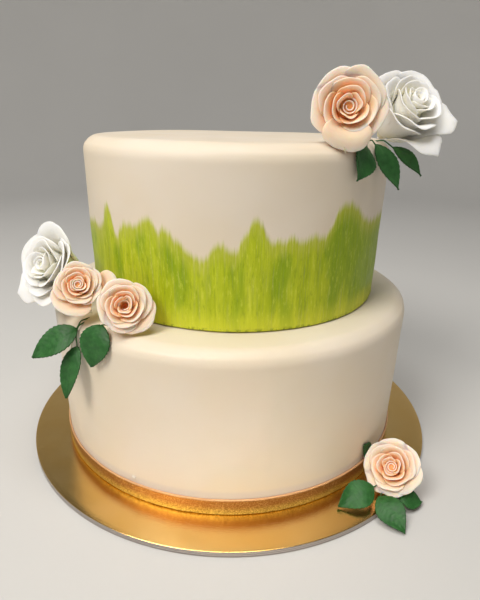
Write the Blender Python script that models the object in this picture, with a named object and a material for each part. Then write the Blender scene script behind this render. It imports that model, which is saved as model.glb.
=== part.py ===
"""A two-tier wedding cake on its round foil board, with a gold band, sugar roses and sugar leaves.

The origin is on the board's underside, below the middle of the lower tier, with +Z up.
The side that is seen first faces -Y.
"""
import math
from collections import namedtuple

import bmesh
import bpy
import numpy as np
from mathutils import Matrix, Vector

# Driving dimensions, in millimetres and degrees
MM = 0.001
GAP = 0.3

BOARD_RADIUS = 150.0
BOARD_THICKNESS = 3.8
BOARD_CENTRE = (1.0, -1.5)

LOWER_BASE_RADIUS = 124.0
LOWER_TOP_RADIUS = 126.0
LOWER_HEIGHT = 106.4
LOWER_EDGE = 9.5

UPPER_CENTRE = (2.4, -0.2)
UPPER_BASE_RADIUS = 99.5
UPPER_TOP_RADIUS = 100.9
UPPER_HEIGHT = 102.0
UPPER_EDGE = 10.2
UPPER_LEAN = 0.4

BAND_HEIGHT = 11.3
BAND_THICKNESS = 1.2

TIER_SEGMENTS = 56
BOARD_SEGMENTS = 72
EDGE_STEPS = 3

PETAL_THICKNESS = 1.3
PETAL_COLUMNS = 6
PETAL_ROWS = 3
PETAL_STEPS = 40
# Shares of a rose's radius: how far out and how high a petal's foot stands.
PETAL_FOOT_REACH = 0.07
PETAL_FOOT_RISE = 0.06
# A petal's length at its sides as a share of that in its middle, and the roundness of the rim between.
PETAL_SHOULDER = 0.6
PETAL_ROUNDNESS = 2.6
CORE_SEGMENTS = 10
# The wound heart with its dimpled top, from the middle of the top to the foot: shares of radius and height.
CORE_PROFILE = [
    (0.07, 0.98), (0.15, 0.86), (0.27, 0.93), (0.36, 1.02), (0.41, 0.97),
    (0.38, 0.66), (0.26, 0.3), (0.13, 0.0),
]
STEM_RADIUS = 1.4
STEM_SEGMENTS = 6
# A stem's radius at its foot as a share of its radius at the top.
STEM_TAPER = 0.7
# How far up the heart a stem starts, as a share of its height.
STEM_START = 0.2

LEAF_THICKNESS = 1.0
LEAF_ROWS = 6
LEAF_SIDES = (-1, -0.5, 0, 0.5, 1)
LEAF_FULLNESS = 0.8
# Shares of a leaf's half width: the blunt ends and the teeth. The wave is a share of its whole width.
LEAF_END = 0.06
LEAF_TEETH = 0.05
LEAF_WAVE = 0.04

LOWER_BASE = BOARD_THICKNESS + GAP
UPPER_BASE = LOWER_BASE + LOWER_HEIGHT + GAP

# A rose opens along its axis from its foot. Its petals' lengths and feet are shares of its radius.
# rest: where its short stem meets the cake or the board.
Rose = namedtuple("Rose", "foot rest axis radius height petals")

# turn: where the petal's middle points, anticlockwise from the right as seen from in front of the rose.
# spread: half the angle that it covers. slopes: its climb at the foot, the middle and the rim.
# wind: how much further out one side is than the other. peak: how far its middle stands above a round rim.
Petal = namedtuple("Petal", "turn spread length slopes wind peak")

Leaf = namedtuple("Leaf", "foot tip facing width arch fold")


def peach_petals(length, turns):
    """The petals that show from outside on a peach rose: two rings, the outer one at the given turns."""
    inner = [Petal(turn, 76, 1.12, (40, 74, 50), 0.06, 0.0) for turn in (80, 205, 322)]
    outer = [Petal(turn, spread, length * reach, slopes, 0.04, 0.0) for turn, spread, reach, slopes in turns]
    return inner + outer


TOP_PEACH = Rose(
    (61.4, -61.8, 227.5), (62.0, -54.8, 213.3), (-0.02, -0.988, 0.155), 21.4, 20.5,
    peach_petals(1.24, [
        (112, 62, 1.0, (30, 66, 12)),
        (48, 60, 1.04, (30, 66, 12)),
        (-14, 60, 1.02, (30, 66, 10)),
        (184, 62, 1.0, (30, 66, 10)),
        (267, 52, 1.24, (54, 66, -28)),
    ]),
)
TOP_WHITE = Rose(
    (91.7, -32.0, 214.8), (90.5, -31.0, 213.2), (0.323, -0.698, 0.639), 26.0, 36.0,
    [
        Petal(80, 74, 1.36, (52, 84, 66), 0.05, 0.0),
        Petal(200, 74, 1.34, (52, 84, 62), 0.05, 0.0),
        Petal(320, 74, 1.34, (50, 82, 58), 0.05, 0.0),
        Petal(120, 58, 1.42, (36, 70, 28), 0.04, 0.04),
        Petal(52, 58, 1.45, (36, 70, 30), 0.04, 0.04),
        Petal(-18, 52, 1.62, (30, 60, 0), 0.04, 0.14),
        Petal(-72, 50, 1.5, (30, 56, -10), 0.04, 0.12),
        Petal(212, 66, 1.3, (40, 70, 40), 0.04, 0.0),
    ],
)
LEFT_WHITE = Rose(
    (-96.3, -50.6, 127.4), (-95.0, -48.0, 111.0), (-0.498, -0.744, 0.446), 25.5, 34.0,
    [
        Petal(90, 74, 1.36, (52, 84, 66), 0.05, 0.0),
        Petal(210, 74, 1.34, (52, 84, 62), 0.05, 0.0),
        Petal(330, 74, 1.34, (50, 82, 58), 0.05, 0.0),
        Petal(96, 60, 1.5, (36, 68, 24), 0.04, 0.03),
        Petal(160, 56, 1.46, (34, 66, 14), 0.04, 0.03),
        Petal(226, 56, 1.5, (34, 62, 4), 0.04, 0.1),
        Petal(290, 52, 1.4, (36, 68, 30), 0.04, 0.0),
        Petal(28, 56, 1.36, (38, 72, 40), 0.04, 0.0),
    ],
)
LEFT_PEACH_REAR = Rose(
    (-88.3, -77.2, 126.5), (-85.0, -72.5, 111.0), (0.236, -0.815, 0.529), 15.0, 15.0,
    peach_petals(1.22, [
        (84, 60, 1.02, (30, 66, 20)),
        (20, 58, 1.0, (30, 66, 20)),
        (176, 62, 1.0, (30, 66, 20)),
        (-42, 56, 0.98, (30, 66, 20)),
        (240, 60, 1.16, (22, 52, 0)),
    ]),
)
LEFT_PEACH_FRONT = Rose(
    (-57.9, -90.6, 120.9), (-57.5, -89.5, 111.0), (0.137, -0.878, 0.459), 16.4, 15.5,
    peach_petals(1.24, [
        (112, 64, 1.0, (30, 66, 12)),
        (14, 62, 1.0, (30, 66, 10)),
        (-42, 58, 1.06, (26, 56, 0)),
        (186, 62, 0.98, (30, 66, 12)),
        (250, 62, 0.98, (30, 66, 8)),
    ]),
)
BASE_PEACH = Rose(
    (110.3, -90.2, 9.9), (110.5, -89.0, 4.3), (-0.389, -0.622, 0.68), 19.0, 17.5,
    peach_petals(1.24, [
        (100, 58, 1.0, (30, 66, 12)),
        (40, 58, 1.0, (30, 66, 12)),
        (-16, 56, 1.02, (30, 64, 4)),
        (-72, 56, 0.98, (30, 64, 8)),
        (236, 58, 1.0, (30, 64, 6)),
        (164, 64, 1.0, (30, 66, 12)),
    ]),
)

ROSES = {
    "top_peach_rose": TOP_PEACH,
    "top_white_rose": TOP_WHITE,
    "left_white_rose": LEFT_WHITE,
    "left_rear_peach_rose": LEFT_PEACH_REAR,
    "left_front_peach_rose": LEFT_PEACH_FRONT,
    "base_peach_rose": BASE_PEACH,
}

LEAVES = {
    "top_leaf_front": Leaf((74.5, -69.5, 211.0), (69.0, -80.0, 193.0), (0.6, -0.8, 0.1), 15, 1.8, 0.12),
    "top_leaf_middle": Leaf((81.2, -61.8, 211.2), (97.0, -63.8, 186.5), (0.4, -0.85, 0.3), 13, 2.0, 0.12),
    "top_leaf_right": Leaf((95.5, -47.0, 209.0), (113.5, -50.5, 193.0), (0.3, -0.7, 0.65), 11, 2.0, 0.12),
    "top_leaf_back": Leaf((60.4, -60.4, 218.7), (47.8, -66.2, 219.2), (-0.2, -0.9, 0.3), 10, 1.0, 0.1),
    "left_leaf_outer": Leaf((-87.5, -91.5, 107.5), (-113.0, -97.0, 91.0), (-0.3, -0.8, 0.5), 17, 2.0, 0.1),
    "left_leaf_front": Leaf((-70.0, -102.0, 115.0), (-76.0, -105.5, 90.5), (-0.3, -0.9, 0.2), 20, 2.0, 0.1),
    "left_leaf_low": Leaf((-87.5, -93.5, 97.0), (-94.5, -101.5, 67.0), (-0.4, -0.9, 0.1), 14, 2.0, 0.12),
    "base_leaf_left": Leaf((91.5, -108.0, 11.5), (68.5, -118.0, 5.4), (-0.2, -0.6, 0.75), 18, 2.0, 0.1),
    "base_leaf_front": Leaf((94.5, -113.0, 9.0), (104.5, -134.0, 1.5), (-0.2, -0.35, 0.9), 19, 2.0, 0.1),
    "base_leaf_right": Leaf((107.0, -112.0, 6.5), (122.0, -110.5, 3.0), (0.0, -0.5, 0.85), 12, 1.4, 0.14),
    "base_leaf_back": Leaf((94.6, -82.8, 17.5), (88.8, -89.0, 28.5), (0.72, -0.69, 0.0), 10, 0.0, 0.0),
}

COLOURS = {
    "board": ((0.72, 0.45, 0.12), 0.22, 1.0),
    "icing": ((0.86, 0.8, 0.68), 0.45, 0.0),
    "band": ((0.6, 0.3, 0.09), 0.35, 0.8),
    "peach": ((0.9, 0.52, 0.34), 0.5, 0.0),
    "white": ((0.9, 0.87, 0.8), 0.5, 0.0),
    "leaf": ((0.05, 0.17, 0.05), 0.45, 0.0),
}


def clear_scene():
    for thing in list(bpy.data.objects):
        bpy.data.objects.remove(thing, do_unlink=True)


def material(name):
    """The named finish, made once and then shared."""
    if name in bpy.data.materials:
        return bpy.data.materials[name]
    colour, roughness, metallic = COLOURS[name]
    made = bpy.data.materials.new(name)
    made.use_nodes = True
    shader = made.node_tree.nodes["Principled BSDF"]
    shader.inputs["Base Color"].default_value = (*colour, 1.0)
    shader.inputs["Roughness"].default_value = roughness
    shader.inputs["Metallic"].default_value = metallic
    return made


def add_mesh(name, points, faces, finish):
    """A named object from points in millimetres."""
    mesh = bpy.data.meshes.new(name)
    mesh.from_pydata([tuple(float(v) * MM for v in point) for point in points], [], faces)
    mesh.update()
    thing = bpy.data.objects.new(name, mesh)
    bpy.context.scene.collection.objects.link(thing)
    mesh.materials.append(material(finish))
    return thing


def smooth(thing, angle=40):
    thing.data.shade_smooth()
    thing.data.set_sharp_from_angle(angle=math.radians(angle))


def turned(name, profile, segments, finish, place=None):
    """A solid of revolution: profile points (radius, height) run down the outer side, top to bottom."""
    place = place or (lambda point: point)
    points = []
    for radius, height in profile:
        for step in range(segments):
            turn = 2 * math.pi * step / segments
            points.append(place(Vector((radius * math.cos(turn), radius * math.sin(turn), height))))
    faces = [list(range(segments))]
    for ring in range(len(profile) - 1):
        for step in range(segments):
            after = (step + 1) % segments
            high, low = ring * segments, (ring + 1) * segments
            faces.append([high + step, low + step, low + after, high + after])
    last = (len(profile) - 1) * segments
    faces.append([last + step for step in reversed(range(segments))])
    return add_mesh(name, points, faces, finish)


def tier_profile(base_radius, top_radius, height, edge):
    """A tier's side from its top to its foot, with a round top edge."""
    points = []
    for step in range(EDGE_STEPS + 1):
        turn = math.pi / 2 * (1 - step / EDGE_STEPS)
        points.append((top_radius - edge + edge * math.cos(turn), height - edge + edge * math.sin(turn)))
    points.append((base_radius, 0.0))
    return points


def add_board():
    centre = Vector((*BOARD_CENTRE, 0))
    profile = [(BOARD_RADIUS, BOARD_THICKNESS), (BOARD_RADIUS, 0.0)]
    smooth(turned("cake_board", profile, BOARD_SEGMENTS, "board", lambda point: point + centre))


def add_tiers():
    low = Vector((0, 0, LOWER_BASE))
    profile = tier_profile(LOWER_BASE_RADIUS, LOWER_TOP_RADIUS, LOWER_HEIGHT, LOWER_EDGE)
    smooth(turned("lower_tier", profile, TIER_SEGMENTS, "icing", lambda point: point + low))

    high = Vector((*UPPER_CENTRE, UPPER_BASE))
    lean = math.tan(math.radians(UPPER_LEAN))
    profile = tier_profile(UPPER_BASE_RADIUS, UPPER_TOP_RADIUS, UPPER_HEIGHT, UPPER_EDGE)

    def leaning(point):
        return point + high + Vector((lean * point.z, 0, 0))

    smooth(turned("upper_tier", profile, TIER_SEGMENTS, "icing", leaning))


def add_band():
    """The gold ribbon round the foot of the lower tier, a closed ring just clear of the icing."""
    widening = (LOWER_TOP_RADIUS - LOWER_BASE_RADIUS) / (LOWER_HEIGHT - LOWER_EDGE) * BAND_HEIGHT
    inside = LOWER_BASE_RADIUS + GAP
    outside = inside + BAND_THICKNESS
    top = BAND_HEIGHT
    corners = [(outside, 0.0), (outside + widening, top), (inside + widening, top), (inside, 0.0)]
    points, faces = [], []
    for step in range(TIER_SEGMENTS):
        turn = 2 * math.pi * step / TIER_SEGMENTS
        across, ahead = math.cos(turn), math.sin(turn)
        points += [(radius * across, radius * ahead, LOWER_BASE + height) for radius, height in corners]
        here, after = 4 * step, 4 * ((step + 1) % TIER_SEGMENTS)
        for side, beside in ((0, 1), (1, 2), (2, 3), (3, 0)):
            faces.append([here + side, after + side, after + beside, here + beside])
    smooth(add_mesh("gold_band", points, faces, "band"))


def ease(share):
    """Runs smoothly from 0 to 1."""
    return share * share * (3 - 2 * share)


def petal_side(petal, radius):
    """How far out and up a petal's middle line runs, at even shares of its length from its foot."""
    share = np.linspace(0, 1, PETAL_STEPS + 1)
    first, middle, last = petal.slopes
    slope = np.where(
        share < 0.5,
        first + (middle - first) * ease(np.clip(share * 2, 0, 1)),
        middle + (last - middle) * ease(np.clip(share * 2 - 1, 0, 1)),
    )
    slope = np.radians((slope[1:] + slope[:-1]) / 2)
    step = petal.length * radius / PETAL_STEPS
    out = PETAL_FOOT_REACH * radius + np.concatenate([[0], np.cumsum(np.cos(slope))]) * step
    up = PETAL_FOOT_RISE * radius + np.concatenate([[0], np.cumsum(np.sin(slope))]) * step
    return share, out, up


def petal_rim(petal, side):
    """The petal's length at one side as a share of its length in the middle."""
    round_rim = (1 - abs(side) ** PETAL_ROUNDNESS) ** (1 / PETAL_ROUNDNESS)
    length = PETAL_SHOULDER + (1 - PETAL_SHOULDER) * round_rim
    return min(length - petal.peak + 2 * petal.peak * (1 - abs(side)), 1.0)


def petal_grid(petal, radius, columns, rows):
    """Points of a petal's middle surface in its rose's frame: rows from foot to rim, columns across."""
    reach, out, up = petal_side(petal, radius)
    grid = np.zeros((rows + 1, columns + 1, 3))
    for column, side in enumerate(np.linspace(-1, 1, columns + 1)):
        turn = math.radians(petal.turn + petal.spread * side)
        for row, share in enumerate(np.linspace(0, 1, rows + 1)):
            along = petal_rim(petal, side) * share
            distance = np.interp(along, reach, out) + petal.wind * radius * side * along
            height = np.interp(along, reach, up)
            grid[row, column] = (distance * math.cos(turn), distance * math.sin(turn), height)
    return grid


def sheet(grid, thickness):
    """A closed thin solid round a grid of points, both faces split into triangles alike."""
    rows, columns = grid.shape[0] - 1, grid.shape[1] - 1
    across = np.gradient(grid, axis=1)
    along = np.gradient(grid, axis=0)
    normal = np.cross(across, along)
    normal /= np.linalg.norm(normal, axis=2, keepdims=True)
    points = np.concatenate([
        (grid + normal * thickness / 2).reshape(-1, 3),
        (grid - normal * thickness / 2).reshape(-1, 3),
    ])
    under = (rows + 1) * (columns + 1)

    def at(row, column):
        return row * (columns + 1) + column

    faces = []
    for row in range(rows):
        for column in range(columns):
            a, b = at(row, column), at(row, column + 1)
            c, d = at(row + 1, column + 1), at(row + 1, column)
            halves = [(a, b, d), (b, c, d)]
            if (row + column) % 2:
                halves = [(a, b, c), (a, c, d)]
            for half in halves:
                faces += [half, tuple(corner + under for corner in reversed(half))]
    border = [at(0, column) for column in range(columns)]
    border += [at(row, columns) for row in range(rows)]
    border += [at(rows, column) for column in range(columns, 0, -1)]
    border += [at(row, 0) for row in range(rows, 0, -1)]
    for here, after in zip(border, border[1:] + border[:1]):
        faces.append((after, here, here + under, after + under))
    return points, faces


def add_stem(name, top, bottom, finish):
    """A short straight stem, narrower at its foot, which ends flat on what it stands on."""
    points = []
    around = range(STEM_SEGMENTS)
    for centre, radius in ((top, STEM_RADIUS), (bottom, STEM_TAPER * STEM_RADIUS)):
        for step in around:
            turn = 2 * math.pi * step / STEM_SEGMENTS
            points.append(centre + Vector((radius * math.cos(turn), radius * math.sin(turn), 0)))
    faces = [list(around), [STEM_SEGMENTS + step for step in reversed(around)]]
    for step in around:
        after = (step + 1) % STEM_SEGMENTS
        faces.append([step, STEM_SEGMENTS + step, STEM_SEGMENTS + after, after])
    return add_mesh(name, points, faces, finish)


def rose_frame(rose):
    """Places a rose: its own Z runs along the axis, its X points level to the right as seen in front."""
    axis = Vector(rose.axis).normalized()
    right = Vector((0, 0, 1)).cross(axis).normalized()
    up = axis.cross(right)
    frame = Matrix((right, up, axis)).transposed().to_4x4()
    frame.translation = Vector(rose.foot)
    return frame


def fuse(name, pieces):
    """Joins closed pieces into one solid with one exact union, and removes the loose ones."""
    first, rest = pieces[0], pieces[1:]
    group = bpy.data.collections.new(name + "_pieces")
    bpy.context.scene.collection.children.link(group)
    for piece in rest:
        group.objects.link(piece)
        bpy.context.scene.collection.objects.unlink(piece)
    union = first.modifiers.new("union", "BOOLEAN")
    union.operation = "UNION"
    union.operand_type = "COLLECTION"
    union.collection = group
    union.solver = "EXACT"
    bpy.context.view_layer.update()
    joined = bpy.data.meshes.new_from_object(first.evaluated_get(bpy.context.evaluated_depsgraph_get()))
    first.modifiers.clear()
    first.data = joined
    first.name = name
    for piece in rest:
        bpy.data.objects.remove(piece, do_unlink=True)
    bpy.data.collections.remove(group)
    keep_largest_shell(first.data)
    return first


def keep_largest_shell(mesh):
    """Fills the small pockets that a union seals and drops loose scraps: all shells but the largest go."""
    shells = bmesh.new()
    shells.from_mesh(mesh)
    unseen = set(shells.verts)
    found = []
    while unseen:
        shell, edge = set(), [unseen.pop()]
        while edge:
            vertex = edge.pop()
            shell.add(vertex)
            near = {link.other_vert(vertex) for link in vertex.link_edges} & unseen
            unseen -= near
            edge += near
        found.append(shell)
    found.sort(key=len)
    for shell in found[:-1]:
        bmesh.ops.delete(shells, geom=list(shell), context="VERTS")
    shells.to_mesh(mesh)
    shells.free()


def add_rose(name, rose):
    finish = "white" if "white" in name else "peach"
    frame = rose_frame(rose)

    def placed(point):
        return frame @ Vector(point)

    heart = [(across * rose.radius, up * rose.height) for across, up in CORE_PROFILE]
    pieces = [turned(name, heart, CORE_SEGMENTS, finish, placed)]
    stem_top = placed((0, 0, STEM_START * rose.height))
    pieces.append(add_stem(name + "_stem", stem_top, Vector(rose.rest), finish))
    for petal in rose.petals:
        grid = petal_grid(petal, rose.radius, PETAL_COLUMNS, PETAL_ROWS)
        points, faces = sheet(grid, PETAL_THICKNESS)
        pieces.append(add_mesh(name + "_petal", [placed(point) for point in points], faces, finish))
    smooth(fuse(name, pieces), 60)


def leaf_half_width(leaf, row):
    """Half a leaf's width at one row: blunt at both ends, with teeth between."""
    share = row / LEAF_ROWS
    fullness = max(math.sin(math.pi * share ** LEAF_FULLNESS), 0.0) ** LEAF_FULLNESS
    teeth = LEAF_TEETH if row % 2 else -LEAF_TEETH
    return leaf.width / 2 * max(fullness, LEAF_END) * (1 + teeth)


def leaf_grid(leaf):
    """Points of a leaf's middle surface: toothed sides, a folded midrib, an arch and a slight wave."""
    foot, tip = Vector(leaf.foot), Vector(leaf.tip)
    ahead = (tip - foot).normalized()
    facing = Vector(leaf.facing)
    facing = (facing - ahead * facing.dot(ahead)).normalized()
    across = ahead.cross(facing)
    grid = np.zeros((LEAF_ROWS + 1, len(LEAF_SIDES), 3))
    for row in range(LEAF_ROWS + 1):
        share = row / LEAF_ROWS
        half = leaf_half_width(leaf, row)
        for column, side in enumerate(LEAF_SIDES):
            lift = 4 * leaf.arch * share * (1 - share) + leaf.fold * half * abs(side)
            lift += LEAF_WAVE * leaf.width * math.sin(2 * math.pi * share + 2 * side)
            grid[row, column] = foot.lerp(tip, share) + across * half * side + facing * lift
    return grid


def add_leaf(name, leaf):
    points, faces = sheet(leaf_grid(leaf), LEAF_THICKNESS)
    smooth(add_mesh(name, points, faces, "leaf"), 60)


def build():
    clear_scene()
    add_board()
    add_tiers()
    add_band()
    for name, rose in ROSES.items():
        add_rose(name, rose)
    for name, leaf in LEAVES.items():
        add_leaf(name, leaf)


build()
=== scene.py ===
import math
import random
from collections import namedtuple

import bpy
import numpy as np
from mathutils import Matrix, Vector


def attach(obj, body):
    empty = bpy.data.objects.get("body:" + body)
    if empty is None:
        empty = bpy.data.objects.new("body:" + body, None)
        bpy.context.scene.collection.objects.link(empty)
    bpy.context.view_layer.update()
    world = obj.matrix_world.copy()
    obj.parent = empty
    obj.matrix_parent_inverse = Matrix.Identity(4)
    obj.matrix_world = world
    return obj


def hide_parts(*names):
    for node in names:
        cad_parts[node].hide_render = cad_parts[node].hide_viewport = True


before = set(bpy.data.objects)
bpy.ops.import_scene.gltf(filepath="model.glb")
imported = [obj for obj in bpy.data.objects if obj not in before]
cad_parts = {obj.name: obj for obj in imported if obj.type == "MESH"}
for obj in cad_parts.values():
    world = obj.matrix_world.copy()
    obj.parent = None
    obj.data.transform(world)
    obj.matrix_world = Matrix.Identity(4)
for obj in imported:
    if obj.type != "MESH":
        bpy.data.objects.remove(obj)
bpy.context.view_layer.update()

# Sizes are in millimetres and degrees, but in metres in the materials, stage, lights and camera.
# The places repeat those of the solids that the pieces replace.
MM = 0.001
GAP = 0.3

BOARD_RADIUS = 150.0
BOARD_THICKNESS = 3.8
BOARD_CENTRE = (1.0, -1.5)

LOWER_BASE = BOARD_THICKNESS + GAP
LOWER_BASE_RADIUS = 124.0
LOWER_TOP_RADIUS = 126.0
LOWER_HEIGHT = 106.4
LOWER_EDGE = 9.5

UPPER_BASE = LOWER_BASE + LOWER_HEIGHT + GAP
UPPER_CENTRE = (2.4, -0.2)
UPPER_BASE_RADIUS = 99.5
UPPER_TOP_RADIUS = 100.9
UPPER_HEIGHT = 102.0
UPPER_EDGE = 10.2
UPPER_LEAN = 0.4

# Half of the deepest dip in a tier's top, and the size of the rounding at its foot.
TOP_DIP = 0.35
FOOT_ROUND = 1.2

# The board's rounded top corner, and, in metres, the thickness of the plies in its cut edge.
BOARD_CORNER = 0.5
BOARD_PLY = 0.0012

BAND_HEIGHT = 11.3
BAND_THICKNESS = 1.2
BAND_INSET = 0.08
BAND_SWELL = 0.2
BAND_TOP_DIP = 0.25
# The ribbon's section: how far out and how high, as shares of its thickness and height.
BAND_SECTION = [
    (0.0, 0.0), (0.75, 0.0), (1.0, 0.04), (0.92, 0.14), (0.86, 0.3), (0.84, 0.45), (0.86, 0.6),
    (0.9, 0.75), (0.97, 0.86), (0.98, 0.93), (0.85, 0.98), (0.55, 1.0), (0.2, 1.0), (0.0, 0.97),
    (0.0, 0.5),
]

TIER_SEGMENTS = 360

# Where the green paint ends above the upper tier's foot: angle from the front, positive to the
# right, and height.
PAINT_EDGE = [
    (-66, 50), (-60, 51.5), (-55, 50), (-52.5, 50.5), (-50.5, 55), (-48.5, 63), (-46.5, 65.5),
    (-45, 61), (-43.5, 50), (-41.8, 47.5), (-40, 53.5), (-37.4, 56.5), (-33, 56), (-30.5, 59.5),
    (-27, 62), (-25.5, 59), (-24, 54.5), (-22.3, 58), (-20.5, 56), (-18.4, 51), (-16.2, 50),
    (-14, 46.5), (-11.5, 42.5), (-9.1, 40.3), (-8, 43), (-6.3, 48), (-3.1, 51.3), (-1.8, 47.5),
    (1.4, 46.8), (2.6, 53), (4.6, 58), (5.6, 63.5), (6.8, 64.2), (9, 61), (10, 55), (11.5, 52),
    (16, 51.5), (17.6, 54), (19.2, 54), (20.5, 51.5), (23.4, 52), (25, 54), (28, 53),
    (31.6, 54.5), (33, 59), (34.5, 66.5), (37.5, 69.8), (41, 69.3), (44.5, 66), (48.4, 60.3),
    (52, 57), (56.3, 55.5), (63, 58), (72, 57),
]

Rose = namedtuple("Rose", "foot rest axis radius height petals heart lean", defaults=((0.0, 0.0),))
Petal = namedtuple("Petal", "turn spread length slopes wind peak curl ruffle pale")
# The wound strip at a rose's middle: shares of the radius where it starts and ends, its turns and
# first direction, its rim's height at the middle and outside as shares of the rose's height, and
# how high the bud inside it stands.
Heart = namedtuple("Heart", "inside outside turns start middle rim bud")
Leaf = namedtuple("Leaf", "foot tip facing width arch fold")

# The turns of the petals round their rose's axis, in degrees.
RING_PETALS = 3
RING_TWIST = 47
FIRST_TURN = 20
STANDING_TURNS = (80, 205, 322)
STANDING_STEP = 62
WHITE_MIDDLE_TURNS = (20, 142, 258)


def inner_petals(rings, start):
    """Tight petals round the heart, three to a ring."""
    petals = []
    for ring, (length, slopes) in enumerate(rings):
        for step in range(RING_PETALS):
            turn = start + 360 // RING_PETALS * step + RING_TWIST * ring
            petals.append(Petal(turn, 78, length, slopes, 0.045, 0.0, 20.0, 0.016, 0.0))
    return petals


def peach_petals(length, outer, start=FIRST_TURN):
    """A peach rose's petals: two tight rings, two that stand round them and the open outer ring."""
    petals = inner_petals([(1.05, (68, 86, 78)), (1.09, (56, 80, 68))], start)
    for turn in STANDING_TURNS:
        petals.append(Petal(turn, 76, 1.12, (40, 74, 50), 0.06, 0.0, 22.0, 0.014, 0.35))
    for turn in STANDING_TURNS:
        turn += STANDING_STEP
        petals.append(Petal(turn, 62, 1.17, (35, 72, 32), 0.05, 0.0, 20.0, 0.02, 0.6))
    for turn, spread, reach, slopes in outer:
        petals.append(Petal(turn, spread, length * reach, slopes, 0.04, 0.0, 12.0, 0.02, 1.0))
    return petals


def white_petals(inner, outer):
    """A white rose's petals: two tight rings, two rings round them and the large wavy outer ring."""
    petals = inner_petals([(1.3, (74, 88, 84)), (1.33, (64, 86, 74))], FIRST_TURN)
    petals += [Petal(*values, 25.0, 0.02, 0.5) for values in inner]
    for turn in WHITE_MIDDLE_TURNS:
        petals.append(Petal(turn, 66, 1.36, (45, 76, 44), 0.05, 0.04, 22.0, 0.03, 0.8))
    return petals + [Petal(*values, 14.0, 0.04, 1.0) for values in outer]


ROSES = {
    "top_peach_rose": Rose(
        (61.4, -61.8, 227.5), (62.0, -54.8, 213.3), (-0.02, -0.988, 0.155), 21.4, 20.5,
        peach_petals(1.24, [
            (112, 62, 1.0, (30, 66, 12)),
            (48, 60, 1.04, (30, 66, 12)),
            (-14, 60, 1.02, (30, 66, 10)),
            (184, 62, 1.0, (30, 66, 10)),
            (267, 52, 1.24, (54, 66, -28)),
        ]),
        Heart(0.04, 0.2, 2.1, 100, 0.95, 0.98, 0.9),
    ),
    "top_white_rose": Rose(
        (91.7, -32.0, 214.8), (90.5, -31.0, 213.2), (0.323, -0.698, 0.639), 26.0, 36.0,
        white_petals([
            (80, 74, 1.36, (52, 84, 66), 0.05, 0.0),
            (200, 74, 1.34, (52, 84, 62), 0.05, 0.0),
            (320, 74, 1.34, (50, 82, 58), 0.05, 0.0),
        ], [
            (120, 58, 1.42, (36, 70, 28), 0.04, 0.04),
            (52, 58, 1.45, (36, 70, 30), 0.04, 0.04),
            (-18, 52, 1.64, (30, 60, 0), 0.04, 0.2),
            (-72, 50, 1.54, (30, 56, -10), 0.04, 0.2),
            (212, 66, 1.3, (40, 70, 40), 0.04, 0.0),
        ]),
        Heart(0.04, 0.18, 2.2, 30, 0.9, 0.95, 0.86),
        (0.14, 0.05),
    ),
    "left_white_rose": Rose(
        (-96.3, -50.6, 127.4), (-95.0, -48.0, 111.0), (-0.498, -0.744, 0.446), 25.5, 34.0,
        white_petals([
            (90, 74, 1.36, (52, 84, 66), 0.05, 0.0),
            (210, 74, 1.34, (52, 84, 62), 0.05, 0.0),
            (330, 74, 1.34, (50, 82, 58), 0.05, 0.0),
        ], [
            (96, 60, 1.5, (36, 68, 24), 0.04, 0.03),
            (160, 56, 1.46, (34, 66, 14), 0.04, 0.03),
            (226, 56, 1.54, (34, 62, 4), 0.04, 0.18),
            (290, 52, 1.4, (36, 68, 30), 0.04, 0.0),
            (28, 56, 1.36, (38, 72, 40), 0.04, 0.0),
        ]),
        Heart(0.04, 0.18, 2.2, 200, 0.9, 0.95, 0.86),
    ),
    "left_rear_peach_rose": Rose(
        (-88.3, -77.2, 126.5), (-85.0, -72.5, 111.0), (0.236, -0.815, 0.529), 15.0, 15.0,
        peach_petals(1.22, [
            (84, 60, 1.02, (30, 66, 20)),
            (20, 58, 1.0, (30, 66, 20)),
            (176, 62, 1.0, (30, 66, 20)),
            (-42, 56, 0.98, (30, 66, 20)),
            (240, 60, 1.16, (22, 52, 0)),
            (0, 30, 1.28, (18, 40, 16)),
        ], 60),
        Heart(0.05, 0.23, 2.4, 200, 0.96, 1.0, 0.9),
    ),
    "left_front_peach_rose": Rose(
        (-57.9, -90.6, 120.9), (-57.5, -89.5, 111.0), (0.137, -0.878, 0.459), 16.4, 15.5,
        peach_petals(1.24, [
            (112, 64, 1.0, (30, 66, 12)),
            (14, 62, 1.0, (30, 66, 10)),
            (-42, 58, 1.06, (26, 56, 0)),
            (186, 62, 0.98, (30, 66, 12)),
            (250, 62, 0.98, (30, 66, 8)),
        ], 140),
        Heart(0.12, 0.25, 1.8, 220, 0.86, 0.98, 0.5),
    ),
    "base_peach_rose": Rose(
        (110.3, -90.2, 9.9), (110.5, -89.0, 4.3), (-0.389, -0.622, 0.68), 19.0, 17.5,
        peach_petals(1.24, [
            (100, 58, 1.0, (30, 66, 12)),
            (40, 58, 1.0, (30, 66, 12)),
            (-16, 56, 1.02, (30, 64, 4)),
            (-72, 56, 0.98, (30, 64, 8)),
            (236, 58, 1.0, (30, 64, 6)),
            (164, 64, 1.0, (30, 66, 12)),
        ], 250),
        Heart(0.05, 0.23, 2.6, 250, 0.95, 1.0, 0.9),
    ),
}

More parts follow.
